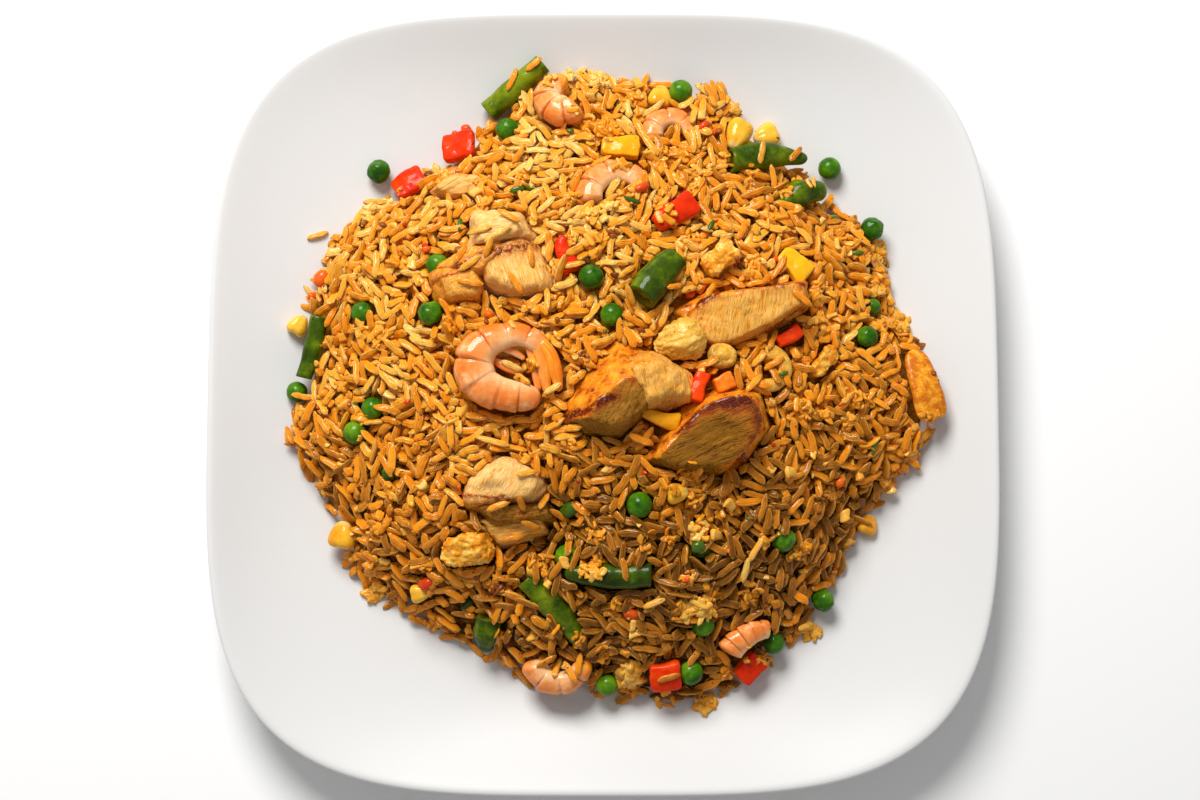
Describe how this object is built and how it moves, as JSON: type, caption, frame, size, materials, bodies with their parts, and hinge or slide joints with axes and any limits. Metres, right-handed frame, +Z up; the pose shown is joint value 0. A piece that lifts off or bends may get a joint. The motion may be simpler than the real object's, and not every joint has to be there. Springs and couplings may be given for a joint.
{
  "type": "fried rice plate",
  "caption": "Rounded-square white plate with a heap of fried rice, shrimps, chicken, green beans, peas, corn, peppers, egg and mushroom.",
  "frame": {"origin": "on the table, under the middle of the plate", "axes": "+Z up out of the plate, +X to the right and +Y away from the person eating; the plate's sides run along X and Y"},
  "size_m": [0.27, 0.27, 0.0607],
  "materials": {
    "glazed_white": "smooth white glaze",
    "rice": "oily separate grains of fried rice",
    "pea_green": "glossy cooked pea skin",
    "corn_yellow": "glossy kernel skin",
    "bean_green": "glossy cooked green bean",
    "shrimp_pink": "moist cooked shrimp flesh with orange bands",
    "chicken_tan": "seared chicken with a thin glaze",
    "egg_yellow": "soft scrambled egg",
    "pepper_red": "glossy red pepper skin",
    "carrot_orange": "moist cooked carrot",
    "pepper_yellow": "glossy yellow pepper",
    "mushroom_cream": "moist fried mushroom"
  },
  "bodies": {
    "root": {"plate": "glazed_white", "rice_heap": "rice", "pea_01": "pea_green", "pea_02": "pea_green", "pea_03": "pea_green", "pea_04": "pea_green", "pea_05": "pea_green", "pea_06": "pea_green", "pea_07": "pea_green", "pea_08": "pea_green", "pea_09": "pea_green", "pea_10": "pea_green", "pea_11": "pea_green", "pea_12": "pea_green", "pea_13": "pea_green", "corn_1": "corn_yellow", "corn_2": "corn_yellow", "corn_3": "corn_yellow", "corn_4": "corn_yellow", "corn_5": "corn_yellow", "bean_1": "bean_green", "bean_2": "bean_green", "bean_3": "bean_green", "bean_4": "bean_green", "bean_5": "bean_green", "bean_6": "bean_green", "bean_7": "bean_green", "bean_8": "bean_green", "shrimp_1": "shrimp_pink", "shrimp_2": "shrimp_pink", "shrimp_3": "shrimp_pink", "shrimp_4": "shrimp_pink", "shrimp_5": "shrimp_pink", "shrimp_6": "shrimp_pink", "chicken_1": "chicken_tan", "chicken_2": "chicken_tan", "chicken_3": "chicken_tan", "chicken_4": "chicken_tan", "chicken_5": "chicken_tan", "chicken_strip_1": "chicken_tan", "chicken_strip_2": "chicken_tan", "egg_1": "egg_yellow", "egg_2": "egg_yellow", "egg_3": "egg_yellow", "egg_4": "egg_yellow", "pepper_1": "pepper_red", "pepper_2": "pepper_red", "pepper_3": "pepper_red", "pepper_4": "pepper_red", "pepper_5": "pepper_red", "pepper_6": "pepper_red", "pepper_7": "pepper_red", "pepper_8": "pepper_red", "carrot_1": "carrot_orange", "yellow_pepper_1": "pepper_yellow", "yellow_pepper_2": "pepper_yellow", "yellow_pepper_3": "pepper_yellow", "mushroom_1": "mushroom_cream", "mushroom_2": "mushroom_cream", "mushroom_3": "mushroom_cream"}
  },
  "joints": []
}
